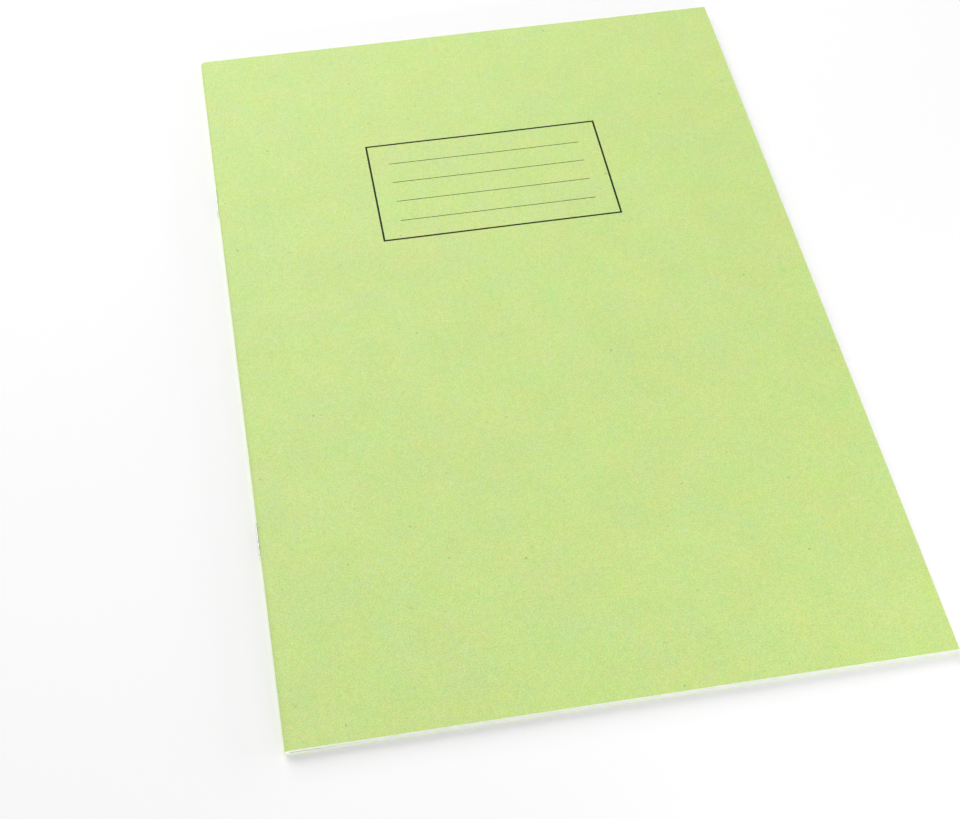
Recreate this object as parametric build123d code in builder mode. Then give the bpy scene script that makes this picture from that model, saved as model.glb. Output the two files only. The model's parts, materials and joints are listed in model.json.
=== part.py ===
from build123d import *
import os

# An A4 exercise book: folded sheets nested in a folded card cover, held by two wire staples through the fold.
# The closed book lies on its back cover: +X runs from the spine to the fore edge, +Y to the head and +Z up.
# The origin is on the table under the middle of the book. Sizes are in millimetres.

# Trimmed size of the closed book: back of the spine to fore edge, and foot to head.
BOOK_WIDTH = 210.0
BOOK_HEIGHT = 297.0

# Paper, card and the air between neighbouring leaves.
SHEET_COUNT = 12
PAPER_THICKNESS = 0.09
CARD_THICKNESS = 0.22
LEAF_CLEARANCE = 0.01

# Staple wire. The crown lies along the back of the spine, and the legs are clinched inside the middle fold.
WIRE_DIAMETER = 0.45
INNER_BEND_RADIUS = 0.125
CROWN_LENGTH = 12.0
CLINCH_LENGTH = 4.5
STAPLE_SPACING = 148.0

# Room round the wire: inside the middle fold, behind the spine, in the pierced holes, and beside the legs of
# the open book.
FOLD_CLEARANCE = 0.025
CROWN_CLEARANCE = 0.02
PIERCE_CLEARANCE = 0.025
LEG_CLEARANCE = 0.075

# Radii about the fold line, which is the axis that every leaf turns on and the line of the clinched wire.
WIRE_RADIUS = WIRE_DIAMETER / 2
BEND_RADIUS = WIRE_RADIUS + INNER_BEND_RADIUS
MIDDLE_FOLD_RADIUS = WIRE_RADIUS + FOLD_CLEARANCE
LEAF_PITCH = PAPER_THICKNESS + LEAF_CLEARANCE
COVER_INNER_RADIUS = MIDDLE_FOLD_RADIUS + SHEET_COUNT * LEAF_PITCH
SPINE_RADIUS = COVER_INNER_RADIUS + CARD_THICKNESS
CROWN_RADIUS = SPINE_RADIUS + CROWN_CLEARANCE + WIRE_RADIUS

# Where the fold line lies, so that the book with its staple crowns is centred over the origin.
CROWN_REACH = CROWN_RADIUS + WIRE_RADIUS - SPINE_RADIUS
FOLD_X = SPINE_RADIUS + (CROWN_REACH - BOOK_WIDTH) / 2
FOLD_Z = SPINE_RADIUS
FORE_EDGE_X = FOLD_X - SPINE_RADIUS + BOOK_WIDTH

# Each leaf and cover panel is flat from here to the fore edge, and joined to its other half by a round fold.
FLAT_START_X = FOLD_X + WIRE_RADIUS + LEG_CLEARANCE
FLAT_WIDTH = FORE_EDGE_X - FLAT_START_X

# Where the legs pierce the folds.
STAPLE_MIDDLES = {"head_staple": STAPLE_SPACING / 2, "foot_staple": -STAPLE_SPACING / 2}
LEG_OFFSET = CROWN_LENGTH / 2
LEG_LINES = [middle + side * LEG_OFFSET for middle in STAPLE_MIDDLES.values() for side in (-1, 1)]
HOLE_RADIUS = BEND_RADIUS + PIERCE_CLEARANCE


def draw_fold(inner_radius, outer_radius):
    """Draw the section of a fold: a half ring about the fold line, with a short flat at each end."""
    with BuildLine() as section:
        Line((FLAT_START_X, FOLD_Z - outer_radius), (FOLD_X, FOLD_Z - outer_radius))
        ThreePointArc(
            (FOLD_X, FOLD_Z - outer_radius),
            (FOLD_X - outer_radius, FOLD_Z),
            (FOLD_X, FOLD_Z + outer_radius),
        )
        Line((FOLD_X, FOLD_Z + outer_radius), (FLAT_START_X, FOLD_Z + outer_radius))
        Line((FLAT_START_X, FOLD_Z + outer_radius), (FLAT_START_X, FOLD_Z + inner_radius))
        Line((FLAT_START_X, FOLD_Z + inner_radius), (FOLD_X, FOLD_Z + inner_radius))
        ThreePointArc(
            (FOLD_X, FOLD_Z + inner_radius),
            (FOLD_X - inner_radius, FOLD_Z),
            (FOLD_X, FOLD_Z - inner_radius),
        )
        Line((FOLD_X, FOLD_Z - inner_radius), (FLAT_START_X, FOLD_Z - inner_radius))
        Line((FLAT_START_X, FOLD_Z - inner_radius), (FLAT_START_X, FOLD_Z - outer_radius))
    make_face(section.edges())


def draw_leg_holes():
    """Draw the round holes that the staple legs pierce, as seen along the legs."""
    with Locations(*[(leg_line, FOLD_Z) for leg_line in LEG_LINES]):
        Circle(HOLE_RADIUS)


def draw_flat():
    """Draw the outline of a flat leaf or cover panel, seen from above."""
    with Locations((FLAT_START_X, 0)):
        Rectangle(FLAT_WIDTH, BOOK_HEIGHT, align=(Align.MIN, Align.CENTER))


os.makedirs("parts", exist_ok=True)

# The cover, one folded sheet of card: the two panels and the rounded spine between them.
with BuildPart() as back_cover:
    with BuildSketch(Plane.XY):
        draw_flat()
    extrude(amount=CARD_THICKNESS)
back_cover.part.label = "back_cover"
export_step(back_cover.part, "parts/back_cover.step")

with BuildPart() as front_cover:
    with BuildSketch(Plane.XY.offset(FOLD_Z + COVER_INNER_RADIUS)):
        draw_flat()
    extrude(amount=CARD_THICKNESS)
front_cover.part.label = "front_cover"
export_step(front_cover.part, "parts/front_cover.step")

with BuildPart() as cover_spine:
    with BuildSketch(Plane.XZ):
        draw_fold(COVER_INNER_RADIUS, SPINE_RADIUS)
    extrude(amount=BOOK_HEIGHT / 2, both=True)
    with BuildSketch(Plane.YZ.offset(FOLD_X)):
        draw_leg_holes()
    extrude(amount=-SPINE_RADIUS, mode=Mode.SUBTRACT)
cover_spine.part.label = "cover_spine"
export_step(cover_spine.part, "parts/cover_spine.step")

# The folded sheets, counted from the outermost one: a front leaf, a back leaf and the fold that joins them.
for sheet_number in range(1, SHEET_COUNT + 1):
    sheet_name = f"sheet_{sheet_number:02d}"
    inner_radius = MIDDLE_FOLD_RADIUS + (SHEET_COUNT - sheet_number) * LEAF_PITCH
    outer_radius = inner_radius + PAPER_THICKNESS

    with BuildPart() as front_leaf:
        with BuildSketch(Plane.XY.offset(FOLD_Z + inner_radius)):
            draw_flat()
        extrude(amount=PAPER_THICKNESS)
    front_leaf.part.label = f"{sheet_name}_front_leaf"
    export_step(front_leaf.part, f"parts/{sheet_name}_front_leaf.step")

    with BuildPart() as back_leaf:
        with BuildSketch(Plane.XY.offset(FOLD_Z - outer_radius)):
            draw_flat()
        extrude(amount=PAPER_THICKNESS)
    back_leaf.part.label = f"{sheet_name}_back_leaf"
    export_step(back_leaf.part, f"parts/{sheet_name}_back_leaf.step")

    with BuildPart() as fold:
        with BuildSketch(Plane.XZ):
            draw_fold(inner_radius, outer_radius)
        extrude(amount=BOOK_HEIGHT / 2, both=True)
        with BuildSketch(Plane.YZ.offset(FOLD_X)):
            draw_leg_holes()
        extrude(amount=-SPINE_RADIUS, mode=Mode.SUBTRACT)
    fold.part.label = f"{sheet_name}_fold"
    export_step(fold.part, f"parts/{sheet_name}_fold.step")

# The staples: a crown behind the spine, two legs through the folds, and clinched ends along the fold line.
for staple_name, middle in STAPLE_MIDDLES.items():
    with BuildPart() as staple:
        with BuildLine(Plane.XY.offset(FOLD_Z)) as wire:
            FilletPolyline(
                (FOLD_X, middle + LEG_OFFSET - CLINCH_LENGTH),
                (FOLD_X, middle + LEG_OFFSET),
                (FOLD_X - CROWN_RADIUS, middle + LEG_OFFSET),
                (FOLD_X - CROWN_RADIUS, middle - LEG_OFFSET),
                (FOLD_X, middle - LEG_OFFSET),
                (FOLD_X, middle - LEG_OFFSET + CLINCH_LENGTH),
                radius=BEND_RADIUS,
            )
        with BuildSketch(Plane(origin=wire.line @ 0, z_dir=wire.line % 0)):
            Circle(WIRE_RADIUS)
        sweep()
    staple.part.label = staple_name
    export_step(staple.part, f"parts/{staple_name}.step")

print(f"closed thickness {2 * SPINE_RADIUS:.2f} mm, fold line at x {FOLD_X:.3f} z {FOLD_Z:.3f} mm")
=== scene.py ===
import json
import math
import random
from typing import NamedTuple

import bmesh
import bpy
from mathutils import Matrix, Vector


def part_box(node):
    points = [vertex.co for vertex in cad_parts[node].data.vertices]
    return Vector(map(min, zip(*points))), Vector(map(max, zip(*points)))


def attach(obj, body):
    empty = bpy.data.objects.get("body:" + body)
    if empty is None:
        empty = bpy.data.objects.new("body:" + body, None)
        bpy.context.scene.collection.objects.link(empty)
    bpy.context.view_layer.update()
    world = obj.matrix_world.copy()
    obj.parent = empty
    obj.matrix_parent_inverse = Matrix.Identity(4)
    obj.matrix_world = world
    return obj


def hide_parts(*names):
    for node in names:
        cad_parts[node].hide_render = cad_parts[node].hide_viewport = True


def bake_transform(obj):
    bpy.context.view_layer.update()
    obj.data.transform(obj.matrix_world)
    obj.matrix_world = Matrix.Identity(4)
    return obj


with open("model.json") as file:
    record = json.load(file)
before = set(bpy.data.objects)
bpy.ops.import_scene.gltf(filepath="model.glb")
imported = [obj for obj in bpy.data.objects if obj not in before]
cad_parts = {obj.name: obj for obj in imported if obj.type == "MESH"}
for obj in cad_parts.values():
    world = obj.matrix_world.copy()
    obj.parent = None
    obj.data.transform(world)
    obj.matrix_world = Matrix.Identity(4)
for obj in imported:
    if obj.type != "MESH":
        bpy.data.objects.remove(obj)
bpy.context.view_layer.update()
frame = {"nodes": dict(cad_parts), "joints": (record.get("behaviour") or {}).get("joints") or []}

# A closed A4 exercise book on a white floor: a green card cover with a ruled label, twelve folded sheets of
# ruled paper and two wire staples. +X runs from the spine to the fore edge, +Y to the head and +Z up.
# Units are metres and watts.
MM = 0.001


class Station(NamedTuple):
    """One place along a sheet's section: its outer and inner points (x, z), its distance round the fold, and
    how far the sheet's head and foot are drawn in there."""
    outer: tuple
    inner: tuple
    along: float
    drawn_in: float = 0.0


class Strip(NamedTuple):
    """A printed bar on the front cover, by its sides."""
    left: float
    right: float
    low: float
    high: float

    def holds(self, x, y):
        return self.left < x < self.right and self.low < y < self.high


class FoldTurn(NamedTuple):
    """Where half a fold lies on the way from its own leaf's turn, 0, to the other leaf's, 1: at its leaf's
    end, and what it gains across the fold and up it. They add up to one half at the spine, where the two
    halves meet."""
    at_leaf: float
    across: float
    up: float


class Noise(NamedTuple):
    """A soft random pattern, with blotches of about the given size."""
    size: float
    detail: float = 2.0
    roughness: float = 0.5
    distortion: float = 0.0


class Blotches(NamedTuple):
    """Soft blotches in a colour, and the shares by which they vary its red, green and blue."""
    pattern: Noise
    shares: tuple


class Fibres(NamedTuple):
    """Short curved fibres of their own colour: the size of their curves, their width, how much of their
    length shows, and how strongly."""
    size: float
    width: float
    share: float
    strength: float
    colour: tuple


class Specks(NamedTuple):
    """Ragged specks of their own colour: the pitch of the cells that they lie in, their radius, the share of
    cells that hold one, and how strongly they show."""
    pitch: float
    radius: float
    share: float
    strength: float
    colour: tuple


class Softbox(NamedTuple):
    """A soft lamp: where it stands, what it is aimed at, its width and height, its power, and whether shiny
    surfaces mirror it."""
    name: str
    place: tuple
    aim: tuple
    size: tuple
    power: float
    in_reflections: bool = True


# The book's own sizes, read from the frame.
joints = {joint["name"]: joint for joint in frame["joints"]}
FOLD_X, _, FOLD_Z = joints["open_at_centre"]["pos_m"]
panel_low, panel_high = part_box("front_cover")
SEAM_X, FORE_EDGE_X = panel_low.x, panel_high.x
FOOT_Y, HEAD_Y = panel_low.y, panel_high.y
COVER_TOP_Z = panel_high.z
COVER_INNER_RADIUS = panel_low.z - FOLD_Z
SPINE_RADIUS = panel_high.z - FOLD_Z
HALF_SPINE_LENGTH = math.pi / 2 * SPINE_RADIUS
SPINE_X = FOLD_X - SPINE_RADIUS
LEAF_LENGTH = FORE_EDGE_X - FOLD_X
SHEET_NUMBERS = range(1, 1 + sum(name.endswith("_fold") for name in frame["nodes"]))

# The two halves of the closed book, above the fold line and below it.
FRONT, BACK = 1, -1

# The printed label on the front cover: distances from the spine's back and from the head.
LABEL_LEFT = 59.25 * MM
LABEL_TOP = 57.3 * MM
LABEL_WIDTH = 89.8 * MM
LABEL_HEIGHT = 47.9 * MM
LABEL_LINE = 0.74 * MM
NAME_RULE_LEFT = 66.7 * MM
NAME_RULE_LENGTH = 74.5 * MM
NAME_RULE_TOP = 67.4 * MM
NAME_RULE_STEP = 9.65 * MM
NAME_RULE_COUNT = 4
NAME_RULE_LINE = 0.28 * MM

# Ruling of the pages: 8 mm feint lines from under the heading, and a margin on the left of each page.
FEINT_TOP = 29 * MM
FEINT_STEP = 8 * MM
FEINT_FOOT = 9 * MM
FEINT_LINE = 0.25 * MM
MARGIN = 22 * MM
MARGIN_LINE = 0.3 * MM
MARGIN_INSET = 0.4 * MM
MARGIN_LOW, MARGIN_HIGH = FOOT_Y + MARGIN_INSET, HEAD_Y - MARGIN_INSET

# Material slots of a sheet: its own surface, its print, and the margin line of a page.
PLAIN_SLOT, PRINT_SLOT, MARGIN_SLOT = range(3)

# How the paper lies: the inner leaves close up beyond the staples, and trimmed edges differ a little.
CLOSING_LENGTH = 25 * MM
MIDDLE_GAP = 0.16 * MM
EDGE_PLAY = 0.08 * MM
FOLD_DRAWN_IN = 0.1 * MM
LEAF_PLAY = 0.006 * MM

# The front cover has close stations along a crease beside the spine, and a slight cockle: waves across and
# up it, with their phases in radians, that reach their height some way from the spine.
CREASE_LENGTH = 4 * MM
COCKLE_HEIGHT = 0.12 * MM
COCKLE_LENGTHS = (83 * MM, 118 * MM)
COCKLE_PHASES = (1.1, 0.4)
COCKLE_RISE = 40 * MM

# Fineness of the meshes. A leaf has stations where it bends beside its fold, in radii of the fold, and where
# it closes up. Edges that turn by more than the sharp angles, in degrees, stay sharp.
FOLD_STEPS = 12
BEND_STATIONS = (0.15, 0.3, 0.45, 0.6)
CLOSING_STATIONS = (5 * MM, 12 * MM)
CREASE_STEPS = 16
PRINTED_STEP = 9 * MM
PLAIN_STEP = 36 * MM
WIRE_SIDES = 20
WIRE_BEND_STEPS = 6
SHEET_SHARP_ANGLE = 40
WIRE_SHARP_ANGLE = 50

# Staple details that the frame's boxes don't give.
CLINCH_LENGTH = 4.5 * MM
WIRE_BEND_RADIUS = 0.35 * MM
TIP_LENGTH = 0.3 * MM
TIP_FLATNESS = 0.45

# A flat map in metres for the patterns of a sheet, and how far on it the inner side lies from the outer one.
FLAT_MAP = "flat"
INNER_SIDE_SHIFT = 0.7

# Most of a noise lies in this range about its middle.
NOISE_MIDDLE = 0.5
NOISE_RANGE = (0.3, 0.7)

# Green manilla card: colours and gloss from the hollows to the crests of its grain, and what lies in it.
CARD_GRAIN = Noise(0.55 * MM, detail=3.0, roughness=0.7)
CARD_COLOUR_RANGE = (0.28, 0.72)
CARD_HOLLOWS = (0.503, 0.662, 0.207, 1)
CARD_CRESTS = (0.617, 0.785, 0.275, 1)
CARD_MEAN = (0.56, 0.72, 0.24, 1)
CARD_GLOSS_RANGE = (0.25, 0.75)
CARD_ROUGHNESS = (0.62, 0.52)
CARD_BUMP_HEIGHT = 0.02 * MM
CARD_BUMP_STRENGTH = 0.35
CARD_BLOTCHES = (
    Blotches(Noise(28 * MM), shares=(0.024, 0.015, 0.032)),
    Blotches(Noise(10 * MM), shares=(0.032, 0.011, 0.047)),
    Blotches(Noise(2.6 * MM, detail=0.0), shares=(0.030, 0.010, 0.040)),
)
CARD_MOTTLE = Noise(1.8 * MM, detail=1.0)
CARD_MOTTLE_SHADES = (0.982, 1.018)
CARD_FIBRES = (
    Fibres(size=7 * MM, width=0.1 * MM, share=0.38, strength=0.3, colour=(0.33, 0.50, 0.16, 1)),
    Fibres(size=5 * MM, width=0.1 * MM, share=0.36, strength=0.4, colour=(0.72, 0.82, 0.46, 1)),
)
CARD_SPECKS = (
    Specks(pitch=41 * MM, radius=0.4 * MM, share=0.7, strength=0.8, colour=(0.20, 0.36, 0.12, 1)),
    Specks(pitch=13 * MM, radius=0.35 * MM, share=0.6, strength=0.4, colour=(0.20, 0.44, 0.20, 1)),
    Specks(pitch=4 * MM, radius=0.16 * MM, share=0.5, strength=0.25, colour=(0.24, 0.42, 0.14, 1)),
)

# How fibres run: how far a line wanders, how many stretches a curve is broken into, and how softly they end.
FIBRE_DISTORTION = 0.8
FIBRE_STRETCHES = 3
FIBRE_END = 0.05

# The outline of a speck, in radii: the size of its raggedness, how far its edge wanders and where it fades.
SPECK_RAGGED_SIZE = 1.5
SPECK_RAGGED_ROUGHNESS = 0.7
SPECK_EDGE = (-0.6, 0.9)
SPECK_FADE = (0.3, 1.3)

# Printing ink: its grain, how many times as much shows through where it is thinnest, its finish and colours,
# and the share of the surface under it that it hides.
INK_GRAIN = Noise(0.4 * MM, roughness=0.6)
INK_GRAIN_RANGE = (0.35, 0.75)
INK_THINNEST = 1.5
INK_ROUGHNESS = 0.65
INK_SHINE = 0.12
LABEL_COLOUR = (0.009, 0.013, 0.005, 1)
LABEL_HIDING = 0.985
FEINT_COLOUR = (0.36, 0.50, 0.66, 1)
MARGIN_COLOUR = (0.72, 0.27, 0.30, 1)
RULING_HIDING = 0.85

# White writing paper: colours and gloss from the thin to the dense clouds in it, and its fine grain.
PAPER_CLOUDS = Noise(4 * MM, detail=3.0, roughness=0.6)
PAPER_THIN = (0.843, 0.851, 0.823, 1)
PAPER_DENSE = (0.859, 0.865, 0.839, 1)
PAPER_MEAN = (0.85, 0.86, 0.83, 1)
PAPER_ROUGHNESS = (0.72, 0.64)
PAPER_GRAIN = Noise(0.35 * MM, roughness=0.6)
PAPER_GRAIN_SHADES = (0.975, 1.0)
PAPER_BUMP_HEIGHT = 0.01 * MM
PAPER_BUMP_STRENGTH = 0.3

# Staple steel: colours and gloss across fine scratches, which are drawn out along the wire.
STEEL_SCRATCHES = Noise(0.06 * MM)
STEEL_STRETCH = (1.0, 0.08, 1.0)
STEEL_DARK = (0.40, 0.405, 0.41, 1)
STEEL_BRIGHT = (0.57, 0.575, 0.58, 1)
STEEL_ROUGHNESS = (0.46, 0.30)

# Camera, as the photograph was taken: its place from the middle of the front cover, how far it is turned
# down and to the right, in degrees, its lens and sensor in mm, and a view a little off centre.
CAMERA_FROM_COVER = Vector((-96.6, -327.5, 435.4)) * MM
CAMERA_DOWN = 55.56
CAMERA_TO_RIGHT = 9.13
CAMERA_LENS = 57.86
CAMERA_SENSOR = 36.0
CAMERA_SHIFT_X = 0.0751

# A white floor that keeps the shadow, and whose own glow rises with the distance from the book.
FLOOR_SIZE = 6.0
FLOOR_COLOUR = (0.90, 0.90, 0.90, 1)
FLOOR_ROUGHNESS = 0.9
FLOOR_DISTANCES = (0.25, 0.8)
FLOOR_GLOW = (0.10, 1.0)

# Soft studio light: the world's strength as light and as seen, and lamps.
WHITE = (1, 1, 1, 1)
WORLD_STRENGTHS = (0.22, 1.0)
SOFTBOXES = (
    Softbox("key", place=(-0.5, 1.05, 1.1), aim=(-0.05, 0.05, 0), size=(1.7, 1.7), power=28.5),
    Softbox("corner_fill", place=(0.24, -0.28, 0.2), aim=(0.09, -0.13, 0), size=(0.2, 0.2), power=0.24),
    Softbox(
        "front_fill", place=(0, -1.6, 0.2), aim=(0, -0.15, 0.05), size=(1.5, 0.3), power=18.5,
        in_reflections=False,
    ),
    Softbox(
        "side_fill", place=(1.6, 0.1, 0.2), aim=(0.1, 0, 0.05), size=(1.5, 0.3), power=12.0,
        in_reflections=False,
    ),
)

# Node sockets that go by number, because their names aren't unique: a Mix node's colours, and the limits
# of a Map Range node that works on vectors.
MIX_FACTOR, MIX_FIRST, MIX_SECOND, MIX_RESULT = 0, 6, 7, 2
VECTOR_FROM_MIN, VECTOR_FROM_MAX, VECTOR_TO_MIN, VECTOR_TO_MAX = 7, 8, 9, 10

RANDOM_SEED = 20
rng = random.Random(RANDOM_SEED)


# Shapes
def smooth(t):
    """0 before 0, 1 after 1, and an even rise between."""
    t = min(max(t, 0.0), 1.0)
    return t * t * (3 - 2 * t)


def fill_in(edges, step):
    """The sorted edges, with even stations between any two that lie further apart than step."""
    edges = sorted(set(edges))
    filled = [edges[0]]
    for low, high in zip(edges, edges[1:]):
        count = max(1, math.ceil((high - low) / step))
        filled += [low + (high - low) * k / count for k in range(1, count + 1)]
    return filled


def make_sheet(name, stations, heights, slot_of, materials, lift=None):
    """A thin closed sheet over a grid of stations and heights, with a flat map in metres for its patterns.

    slot_of(is_outer, x, y) gives the material slot of a face, and lift(x, y) raises a point."""
    mesh = bpy.data.meshes.new(name)
    piece = bpy.data.objects.new(name, mesh)
    bpy.context.scene.collection.objects.link(piece)
    for material in materials:
        mesh.materials.append(material)

    bm = bmesh.new()
    flat_map = bm.loops.layers.uv.new(FLAT_MAP)
    points = {}
    for i, station in enumerate(stations):
        column = [heights[0] + station.drawn_in, *heights[1:-1], heights[-1] - station.drawn_in]
        for j, y in enumerate(column):
            for is_outer, (x, z) in ((True, station.outer), (False, station.inner)):
                rise = lift(x, y) if lift else 0.0
                points[is_outer, i, j] = bm.verts.new((x, y, z + rise))

    def add_face(keys, slot, is_smooth):
        face = bm.faces.new([points[key] for key in keys])
        face.material_index = slot
        face.smooth = is_smooth
        for loop, (is_outer, i, j) in zip(face.loops, keys):
            shift = 0.0 if is_outer else INNER_SIDE_SHIFT
            loop[flat_map].uv = (stations[i].along + shift, heights[j])

    def add_cut_edge(first, second):
        keys = [(True, *first), (True, *second), (False, *second), (False, *first)]
        add_face(keys, PLAIN_SLOT, is_smooth=False)

    last_i, last_j = len(stations) - 1, len(heights) - 1
    for i in range(last_i):
        x = (stations[i].outer[0] + stations[i + 1].outer[0]) / 2
        for j in range(last_j):
            y = (heights[j] + heights[j + 1]) / 2
            corners = [(i, j), (i, j + 1), (i + 1, j + 1), (i + 1, j)]
            add_face([(True, *corner) for corner in corners], slot_of(True, x, y), is_smooth=True)
            add_face([(False, *corner) for corner in corners[::-1]], slot_of(False, x, y), is_smooth=True)
    for i in range(last_i):
        add_cut_edge((i, 0), (i + 1, 0))
        add_cut_edge((i + 1, last_j), (i, last_j))
    for j in range(last_j):
        add_cut_edge((0, j + 1), (0, j))
        add_cut_edge((last_i, j), (last_i, j + 1))

    bmesh.ops.recalc_face_normals(bm, faces=bm.faces)
    bm.to_mesh(mesh)
    bm.free()
    mesh.set_sharp_from_angle(angle=math.radians(SHEET_SHARP_ANGLE))
    return piece


def half_fold(inner_radius, outer_radius, side):
    """Stations round the front or the back half of a fold, from beside its leaf to the spine."""
    middle_radius = (inner_radius + outer_radius) / 2
    stations = []
    for step in range(1, FOLD_STEPS + 1):
        turn = math.pi / 2 * step / FOLD_STEPS
        across, up = -math.sin(turn), side * math.cos(turn)
        outer = (FOLD_X + outer_radius * across, FOLD_Z + outer_radius * up)
        inner = (FOLD_X + inner_radius * across, FOLD_Z + inner_radius * up)
        along = side * (math.pi / 2 - turn) * middle_radius
        stations.append(Station(outer, inner, along, FOLD_DRAWN_IN * math.sin(turn)))
    return stations


def bend_half_fold(piece):
    """Bake half a fold's placement into its mesh."""
    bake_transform(piece)


# Shader nodes
def new_material(name):
    material = bpy.data.materials.new(name)
    material.use_nodes = True
    tree = material.node_tree
    return material, tree, tree.nodes["Principled BSDF"]


def add_node(tree, kind, inputs, **settings):
    """A node with its settings made and each input linked or set."""
    made = tree.nodes.new(kind)
    for name, value in settings.items():
        setattr(made, name, value)
    for socket, value in inputs.items():
        if isinstance(value, bpy.types.NodeSocket):
            tree.links.new(value, made.inputs[socket])
        else:
            made.inputs[socket].default_value = value
    return made


def flat_coordinates(tree):
    return add_node(tree, "ShaderNodeUVMap", {}, uv_map=FLAT_MAP).outputs["UV"]


def noise_node(tree, place, pattern, dimensions="2D"):
    inputs = {
        "Vector": place,
        "Scale": 1 / pattern.size,
        "Detail": pattern.detail,
        "Roughness": pattern.roughness,
        "Distortion": pattern.distortion,
    }
    return add_node(tree, "ShaderNodeTexNoise", inputs, noise_dimensions=dimensions)


def noise(tree, place, pattern, dimensions="2D"):
    """Soft noise from 0 to 1."""
    return noise_node(tree, place, pattern, dimensions).outputs["Fac"]


def spread(tree, value, over, onto=(0.0, 1.0)):
    """value from one range spread onto another, eased and held at both ends."""
    inputs = {"Value": value, "From Min": over[0], "From Max": over[1], "To Min": onto[0], "To Max": onto[1]}
    return add_node(tree, "ShaderNodeMapRange", inputs, interpolation_type="SMOOTHSTEP").outputs["Result"]


def maths(tree, operation, *values):
    return add_node(tree, "ShaderNodeMath", dict(enumerate(values)), operation=operation).outputs[0]


def mix_colour(tree, factor, first, second, blend="MIX"):
    inputs = {MIX_FACTOR: factor, MIX_FIRST: first, MIX_SECOND: second}
    mixed = add_node(tree, "ShaderNodeMix", inputs, data_type="RGBA", blend_type=blend)
    return mixed.outputs[MIX_RESULT]


def bump(tree, height, distance, strength):
    inputs = {"Height": height, "Distance": distance, "Strength": strength}
    return add_node(tree, "ShaderNodeBump", inputs).outputs["Normal"]


def add_blotches(tree, colour, place, blotches):
    """colour with its red, green and blue varied each by itself, in soft blotches."""
    inputs = {
        "Vector": noise_node(tree, place, blotches.pattern).outputs["Color"],
        VECTOR_FROM_MIN: [NOISE_RANGE[0]] * 3,
        VECTOR_FROM_MAX: [NOISE_RANGE[1]] * 3,
        VECTOR_TO_MIN: [1 - share for share in blotches.shares],
        VECTOR_TO_MAX: [1 + share for share in blotches.shares],
    }
    varied = add_node(tree, "ShaderNodeMapRange", inputs, data_type="FLOAT_VECTOR").outputs["Vector"]
    return mix_colour(tree, 1.0, colour, varied, "MULTIPLY")


def add_fibres(tree, colour, place, fibres):
    """colour with fibres in it: the contour lines of a noise, broken up by another."""
    curves = noise(tree, place, Noise(fibres.size, detail=1.0, distortion=FIBRE_DISTORTION))
    away = maths(tree, "ABSOLUTE", maths(tree, "SUBTRACT", curves, NOISE_MIDDLE))
    line = spread(tree, away, (0.0, fibres.width / fibres.size), (1.0, 0.0))
    stretches = noise(tree, place, Noise(fibres.size / FIBRE_STRETCHES))
    shown = spread(tree, stretches, (1 - fibres.share, 1 - fibres.share + FIBRE_END))
    factor = maths(tree, "MULTIPLY", maths(tree, "MULTIPLY", line, shown), fibres.strength)
    return mix_colour(tree, factor, colour, fibres.colour)


def add_specks(tree, colour, place, specks):
    """colour with specks in it: a ragged dot in some of the cells of a pattern."""
    inputs = {"Vector": place, "Scale": 1 / specks.pitch}
    cells = add_node(tree, "ShaderNodeTexVoronoi", inputs, voronoi_dimensions="2D")
    radius = specks.radius / specks.pitch
    edge = [part * radius for part in SPECK_EDGE]
    fade = [part * radius for part in SPECK_FADE]
    raggedness = Noise(SPECK_RAGGED_SIZE * specks.radius, roughness=SPECK_RAGGED_ROUGHNESS)
    ragged = spread(tree, noise(tree, place, raggedness), NOISE_RANGE, edge)
    away = maths(tree, "ADD", cells.outputs["Distance"], ragged)
    spot = spread(tree, away, fade, (1.0, 0.0))
    draw = add_node(tree, "ShaderNodeSeparateColor", {"Color": cells.outputs["Color"]}).outputs["Red"]
    chosen = maths(tree, "LESS_THAN", draw, specks.share)
    factor = maths(tree, "MULTIPLY", maths(tree, "MULTIPLY", spot, chosen), specks.strength)
    return mix_colour(tree, factor, colour, specks.colour)


# Materials
def card_material():
    """Uncoated green manilla card: yellow and blue green blotches, fine grain, fibres and a few specks."""
    material, tree, shader = new_material("manilla_card")
    place = flat_coordinates(tree)
    grain = noise(tree, place, CARD_GRAIN)
    colour = mix_colour(tree, spread(tree, grain, CARD_COLOUR_RANGE), CARD_HOLLOWS, CARD_CRESTS)
    for blotches in CARD_BLOTCHES:
        colour = add_blotches(tree, colour, place, blotches)
    mottle = spread(tree, noise(tree, place, CARD_MOTTLE), NOISE_RANGE, CARD_MOTTLE_SHADES)
    colour = mix_colour(tree, 1.0, colour, mottle, "MULTIPLY")
    for fibres in CARD_FIBRES:
        colour = add_fibres(tree, colour, place, fibres)
    for specks in CARD_SPECKS:
        colour = add_specks(tree, colour, place, specks)
    tree.links.new(colour, shader.inputs["Base Color"])
    tree.links.new(spread(tree, grain, CARD_GLOSS_RANGE, CARD_ROUGHNESS), shader.inputs["Roughness"])
    tree.links.new(bump(tree, grain, CARD_BUMP_HEIGHT, CARD_BUMP_STRENGTH), shader.inputs["Normal"])
    return material


def ink_material(name, colour, under_colour, hiding):
    """Printing ink that hides a given share of what it is printed on."""
    material, tree, shader = new_material(name)
    grain = noise(tree, flat_coordinates(tree), INK_GRAIN)
    through = spread(tree, grain, INK_GRAIN_RANGE, (1 - hiding, INK_THINNEST * (1 - hiding)))
    tree.links.new(mix_colour(tree, through, colour, under_colour), shader.inputs["Base Color"])
    shader.inputs["Roughness"].default_value = INK_ROUGHNESS
    shader.inputs["Specular IOR Level"].default_value = INK_SHINE
    return material


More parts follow.
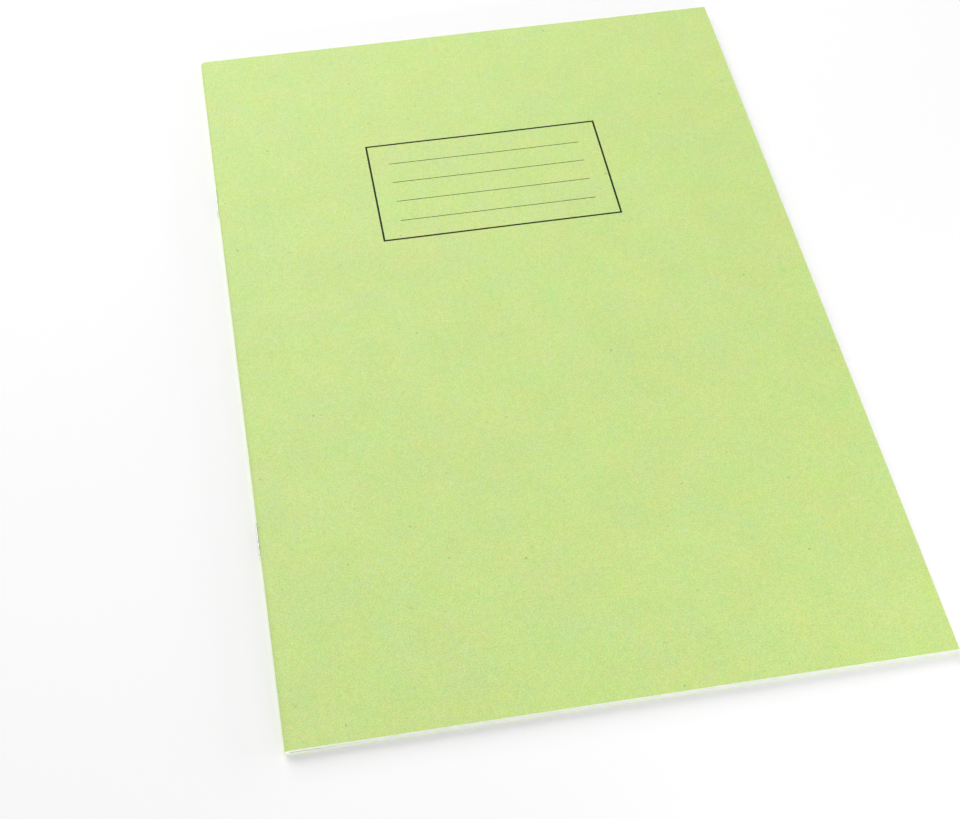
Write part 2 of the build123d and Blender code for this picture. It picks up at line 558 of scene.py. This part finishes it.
def paper_material():
    """Smooth white writing paper with faint cloudiness and a fine grain."""
    material, tree, shader = new_material("writing_paper")
    place = flat_coordinates(tree)
    clouds = spread(tree, noise(tree, place, PAPER_CLOUDS), NOISE_RANGE)
    colour = mix_colour(tree, clouds, PAPER_THIN, PAPER_DENSE)
    grain = noise(tree, place, PAPER_GRAIN)
    colour = mix_colour(tree, 1.0, colour, spread(tree, grain, NOISE_RANGE, PAPER_GRAIN_SHADES), "MULTIPLY")
    tree.links.new(colour, shader.inputs["Base Color"])
    tree.links.new(spread(tree, clouds, (0.0, 1.0), PAPER_ROUGHNESS), shader.inputs["Roughness"])
    tree.links.new(bump(tree, grain, PAPER_BUMP_HEIGHT, PAPER_BUMP_STRENGTH), shader.inputs["Normal"])
    return material


def steel_material():
    """Drawn galvanised wire, with fine scratches along it."""
    material, tree, shader = new_material("staple_steel")
    place = add_node(tree, "ShaderNodeTexCoord", {}).outputs["Object"]
    inputs = {"Vector": place, "Scale": STEEL_STRETCH}
    along_wire = add_node(tree, "ShaderNodeMapping", inputs).outputs["Vector"]
    scratches = noise(tree, along_wire, STEEL_SCRATCHES, "3D")
    colour = mix_colour(tree, spread(tree, scratches, NOISE_RANGE), STEEL_DARK, STEEL_BRIGHT)
    tree.links.new(colour, shader.inputs["Base Color"])
    tree.links.new(spread(tree, scratches, NOISE_RANGE, STEEL_ROUGHNESS), shader.inputs["Roughness"])
    shader.inputs["Metallic"].default_value = 1.0
    return material


CARD = card_material()
PAPER = paper_material()
LABEL_INK = ink_material("label_ink", LABEL_COLOUR, CARD_MEAN, LABEL_HIDING)
FEINT_INK = ink_material("feint_ink", FEINT_COLOUR, PAPER_MEAN, RULING_HIDING)
MARGIN_INK = ink_material("margin_ink", MARGIN_COLOUR, PAPER_MEAN, RULING_HIDING)
STEEL = steel_material()


# The cover, one folded card: the front panel with its label, the back panel, and the spine in two halves.
def label_strips():
    """The label's border and writing rules on the front cover."""
    left, right = SPINE_X + LABEL_LEFT, SPINE_X + LABEL_LEFT + LABEL_WIDTH
    high, low = HEAD_Y - LABEL_TOP, HEAD_Y - LABEL_TOP - LABEL_HEIGHT
    half = LABEL_LINE / 2
    strips = [Strip(left - half, right + half, y - half, y + half) for y in (low, high)]
    strips += [Strip(x - half, x + half, low - half, high + half) for x in (left, right)]
    rule_left = SPINE_X + NAME_RULE_LEFT
    half_rule = NAME_RULE_LINE / 2
    for number in range(NAME_RULE_COUNT):
        y = HEAD_Y - NAME_RULE_TOP - number * NAME_RULE_STEP
        strips.append(Strip(rule_left, rule_left + NAME_RULE_LENGTH, y - half_rule, y + half_rule))
    return strips


def cockle(x, y):
    """The slight unevenness of a card that lies loose on its pages, rising from the spine."""
    across = math.sin(2 * math.pi * x / COCKLE_LENGTHS[0] + COCKLE_PHASES[0])
    up = math.sin(2 * math.pi * y / COCKLE_LENGTHS[1] + COCKLE_PHASES[1])
    return COCKLE_HEIGHT / 2 * (1 + across * up) * smooth((x - SEAM_X) / COCKLE_RISE)


def panel_stations(xs, side):
    """Stations of a flat panel of the cover."""
    outer_z, inner_z = FOLD_Z + side * SPINE_RADIUS, FOLD_Z + side * COVER_INNER_RADIUS
    return [Station((x, outer_z), (x, inner_z), side * (HALF_SPINE_LENGTH + x - FOLD_X)) for x in xs]


def make_front_cover():
    strips = label_strips()
    xs = [SEAM_X + CREASE_LENGTH * step / CREASE_STEPS for step in range(CREASE_STEPS + 1)]
    xs += [FORE_EDGE_X, *[side for strip in strips for side in (strip.left, strip.right)]]
    ys = [FOOT_Y, HEAD_Y, *[side for strip in strips for side in (strip.low, strip.high)]]
    stations = panel_stations(fill_in(xs, PRINTED_STEP), FRONT)
    heights = fill_in(ys, PRINTED_STEP)

    def slot_of(is_outer, x, y):
        return PRINT_SLOT if is_outer and any(strip.holds(x, y) for strip in strips) else PLAIN_SLOT

    piece = make_sheet("cover_front", stations, heights, slot_of, [CARD, LABEL_INK], cockle)
    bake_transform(piece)
    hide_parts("front_cover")


def make_cover_half(name, side, xs):
    """Half of the round spine with the flat card beside it, out to the last of xs."""
    stations = panel_stations(xs[::-1], side) + half_fold(COVER_INNER_RADIUS, SPINE_RADIUS, side)
    heights = fill_in([FOOT_Y, HEAD_Y], PLAIN_STEP)
    piece = make_sheet(name, stations, heights, lambda *place: PLAIN_SLOT, [CARD])
    bend_half_fold(piece)
    return piece


def make_back_cover_and_spine():
    back_xs = fill_in([FOLD_X, SEAM_X, FORE_EDGE_X], PLAIN_STEP)
    back = make_cover_half("cover_back", BACK, back_xs)
    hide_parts("back_cover", "cover_spine")
    make_cover_half("cover_spine_front", FRONT, [FOLD_X, SEAM_X])


# The folded sheets of paper, each in two halves that meet at the spine.
def feint_strips():
    """The low and high sides of the feint lines, which run across the whole sheet."""
    count = 1 + int((HEAD_Y - FOOT_Y - FEINT_TOP - FEINT_FOOT) / FEINT_STEP)
    middles = [HEAD_Y - FEINT_TOP - number * FEINT_STEP for number in range(count)]
    return [(y - FEINT_LINE / 2, y + FEINT_LINE / 2) for y in middles]


def leaf_stations(number, radius, thickness, side):
    """Stations of a front or a back leaf, from its fold to its fore edge."""
    margin_sides = [MARGIN - MARGIN_LINE / 2, MARGIN + MARGIN_LINE / 2]
    lengths = [0.0, SEAM_X - FOLD_X, *CLOSING_STATIONS, CLOSING_LENGTH, LEAF_LENGTH / 2]
    lengths += [part * (radius + thickness) for part in BEND_STATIONS]
    lengths += margin_sides + [LEAF_LENGTH - length for length in margin_sides]
    lengths = sorted(lengths) + [LEAF_LENGTH - rng.uniform(0, EDGE_PLAY)]
    share = (SHEET_NUMBERS[-1] - number) / len(SHEET_NUMBERS)
    closed = MIDDLE_GAP / 2 + share * (COVER_INNER_RADIUS - MIDDLE_GAP / 2)
    closed += rng.uniform(0, LEAF_PLAY)
    stations = []
    for length in lengths:
        inner = radius + (closed - radius) * smooth((length + FOLD_X - SEAM_X) / CLOSING_LENGTH)
        along = side * (length + math.pi / 2 * (radius + thickness / 2))
        x = FOLD_X + length
        stations.append(Station((x, FOLD_Z + side * (inner + thickness)), (x, FOLD_Z + side * inner), along))
    return stations


def make_sheet_half(name, side, stations, heights, strips):
    """A leaf and its half of the fold, with feint lines and a margin on both of its pages."""

    def slot_of(is_outer, x, y):
        margin_at_fold = is_outer == (side == FRONT)
        from_left = x - FOLD_X if margin_at_fold else FORE_EDGE_X - x
        if abs(from_left - MARGIN) < MARGIN_LINE / 2 and MARGIN_LOW < y < MARGIN_HIGH:
            return MARGIN_SLOT
        return PRINT_SLOT if any(low < y < high for low, high in strips) else PLAIN_SLOT

    piece = make_sheet(name, stations, heights, slot_of, [PAPER, FEINT_INK, MARGIN_INK])
    return piece


def make_folded_sheet(number):
    sheet = f"sheet_{number:02d}"
    leaf_low, leaf_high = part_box(f"{sheet}_front_leaf")
    radius, thickness = leaf_low.z - FOLD_Z, leaf_high.z - leaf_low.z
    outer_radius = radius + thickness
    back_leaf = leaf_stations(number, radius, thickness, BACK)
    front_leaf = leaf_stations(number, radius, thickness, FRONT)

    strips = feint_strips()
    ends = [FOOT_Y + rng.uniform(0, EDGE_PLAY), HEAD_Y - rng.uniform(0, EDGE_PLAY)]
    heights = sorted([*ends, MARGIN_LOW, MARGIN_HIGH, *[side for strip in strips for side in strip]])

    stations = back_leaf[::-1] + half_fold(radius, outer_radius, BACK)
    back = make_sheet_half(f"folded_{sheet}_back", BACK, stations, heights, strips)
    bend_half_fold(back)
    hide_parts(f"{sheet}_back_leaf", f"{sheet}_fold")
    stations = front_leaf[::-1] + half_fold(radius, outer_radius, FRONT)
    front = make_sheet_half(f"folded_{sheet}_front", FRONT, stations, heights, strips)
    bend_half_fold(front)
    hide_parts(f"{sheet}_front_leaf")


# The staples.
def wire_path(node):
    """Points and headings along a staple's wire in its own plane, from tip to tip, with its bends rounded,
    and the wire's radius."""
    low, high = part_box(node)
    wire_radius = (high.z - low.z) / 2
    crown_x, clinch_x = low.x + wire_radius, high.x - wire_radius
    leg_low, leg_high = low.y + wire_radius, high.y - wire_radius
    corners = [
        Vector((clinch_x, leg_high - CLINCH_LENGTH)),
        Vector((clinch_x, leg_high)),
        Vector((crown_x, leg_high)),
        Vector((crown_x, leg_low)),
        Vector((clinch_x, leg_low)),
        Vector((clinch_x, leg_low + CLINCH_LENGTH)),
    ]
    path = [(corners[0], (corners[1] - corners[0]).normalized())]
    for before, corner, after in zip(corners, corners[1:], corners[2:]):
        heading_in, heading_out = (corner - before).normalized(), (after - corner).normalized()
        centre = corner + (heading_out - heading_in) * WIRE_BEND_RADIUS
        for step in range(WIRE_BEND_STEPS + 1):
            turn = math.pi / 2 * step / WIRE_BEND_STEPS
            heading = heading_in * math.cos(turn) + heading_out * math.sin(turn)
            outward = heading_in * math.sin(turn) - heading_out * math.cos(turn)
            path.append((centre + outward * WIRE_BEND_RADIUS, heading))
    path.append((corners[-1], (corners[-1] - corners[-2]).normalized()))
    return path, wire_radius


def make_staple(node):
    path, wire_radius = wire_path(node)
    (first, first_heading), (last, last_heading) = path[0], path[-1]
    rings = [(first, first_heading, TIP_FLATNESS), (first + first_heading * TIP_LENGTH, first_heading, 1.0)]
    rings += [(point, heading, 1.0) for point, heading in path[1:-1]]
    rings += [(last - last_heading * TIP_LENGTH, last_heading, 1.0), (last, last_heading, TIP_FLATNESS)]

    mesh = bpy.data.meshes.new(f"wire_{node}")
    mesh.materials.append(STEEL)
    bm = bmesh.new()
    loops = []
    for point, heading, flatness in rings:
        beside = Vector((-heading.y, heading.x))
        loop = []
        for side in range(WIRE_SIDES):
            angle = 2 * math.pi * side / WIRE_SIDES
            rim = point + beside * wire_radius * flatness * math.cos(angle)
            loop.append(bm.verts.new((rim.x, rim.y, FOLD_Z + wire_radius * math.sin(angle))))
        loops.append(loop)
    for loop, following in zip(loops, loops[1:]):
        for side in range(WIRE_SIDES):
            nearby = (side + 1) % WIRE_SIDES
            bm.faces.new([loop[side], loop[nearby], following[nearby], following[side]]).smooth = True
    bm.faces.new(loops[0])
    bm.faces.new(loops[-1])
    bmesh.ops.recalc_face_normals(bm, faces=bm.faces)
    bm.to_mesh(mesh)
    bm.free()
    mesh.set_sharp_from_angle(angle=math.radians(WIRE_SHARP_ANGLE))

    piece = bpy.data.objects.new(f"wire_{node}", mesh)
    bpy.context.scene.collection.objects.link(piece)
    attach(piece, "staples")
    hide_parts(node)


make_front_cover()
make_back_cover_and_spine()
for sheet_number in SHEET_NUMBERS:
    make_folded_sheet(sheet_number)
for staple_node in ("head_staple", "foot_staple"):
    make_staple(staple_node)


# The stage.
def seen_directly(tree):
    """1 for what the camera, a reflection or a clear surface sees, and 0 for the light on the object."""
    path = add_node(tree, "ShaderNodeLightPath", {})
    seen = maths(tree, "MAXIMUM", path.outputs["Is Camera Ray"], path.outputs["Is Glossy Ray"])
    return maths(tree, "MAXIMUM", seen, path.outputs["Is Transmission Ray"])


def make_floor():
    mesh = bpy.data.meshes.new("floor")
    half = FLOOR_SIZE / 2
    corners = [(-half, -half, 0), (half, -half, 0), (half, half, 0), (-half, half, 0)]
    mesh.from_pydata(corners, [], [(0, 1, 2, 3)])
    floor = bpy.data.objects.new("floor", mesh)
    bpy.context.scene.collection.objects.link(floor)
    material, tree, shader = new_material("white_floor")
    shader.inputs["Base Color"].default_value = FLOOR_COLOUR
    shader.inputs["Roughness"].default_value = FLOOR_ROUGHNESS
    shader.inputs["Emission Color"].default_value = WHITE
    place = add_node(tree, "ShaderNodeTexCoord", {}).outputs["Object"]
    away = add_node(tree, "ShaderNodeVectorMath", {0: place}, operation="LENGTH").outputs["Value"]
    glow = maths(tree, "MULTIPLY", seen_directly(tree), spread(tree, away, FLOOR_DISTANCES, FLOOR_GLOW))
    tree.links.new(glow, shader.inputs["Emission Strength"])
    mesh.materials.append(material)


def make_world():
    world = bpy.data.worlds.new("studio")
    bpy.context.scene.world = world
    world.use_nodes = True
    tree = world.node_tree
    background = tree.nodes["Background"]
    background.inputs["Color"].default_value = WHITE
    strength = spread(tree, seen_directly(tree), (0.0, 1.0), WORLD_STRENGTHS)
    tree.links.new(strength, background.inputs["Strength"])


def make_lamp(softbox):
    light = bpy.data.lights.new(softbox.name, "AREA")
    light.shape = "RECTANGLE"
    light.size, light.size_y = softbox.size
    light.energy = softbox.power
    lamp = bpy.data.objects.new(softbox.name, light)
    bpy.context.scene.collection.objects.link(lamp)
    lamp.location = softbox.place
    lamp.visible_camera = False
    lamp.visible_glossy = softbox.in_reflections
    heading = Vector(softbox.aim) - Vector(softbox.place)
    lamp.rotation_euler = heading.to_track_quat("-Z", "Y").to_euler()


def make_camera():
    data = bpy.data.cameras.new("camera")
    data.sensor_width = CAMERA_SENSOR
    data.lens = CAMERA_LENS
    data.shift_x = CAMERA_SHIFT_X
    camera = bpy.data.objects.new("camera", data)
    bpy.context.scene.collection.objects.link(camera)
    cover_middle = Vector(((SPINE_X + FORE_EDGE_X) / 2, (FOOT_Y + HEAD_Y) / 2, COVER_TOP_Z))
    camera.location = cover_middle + CAMERA_FROM_COVER
    camera.rotation_euler = (math.radians(90 - CAMERA_DOWN), 0, math.radians(-CAMERA_TO_RIGHT))
    bpy.context.scene.camera = camera


make_floor()
make_world()
for softbox in SOFTBOXES:
    make_lamp(softbox)
make_camera()
bpy.context.scene.view_settings.view_transform = "Standard"
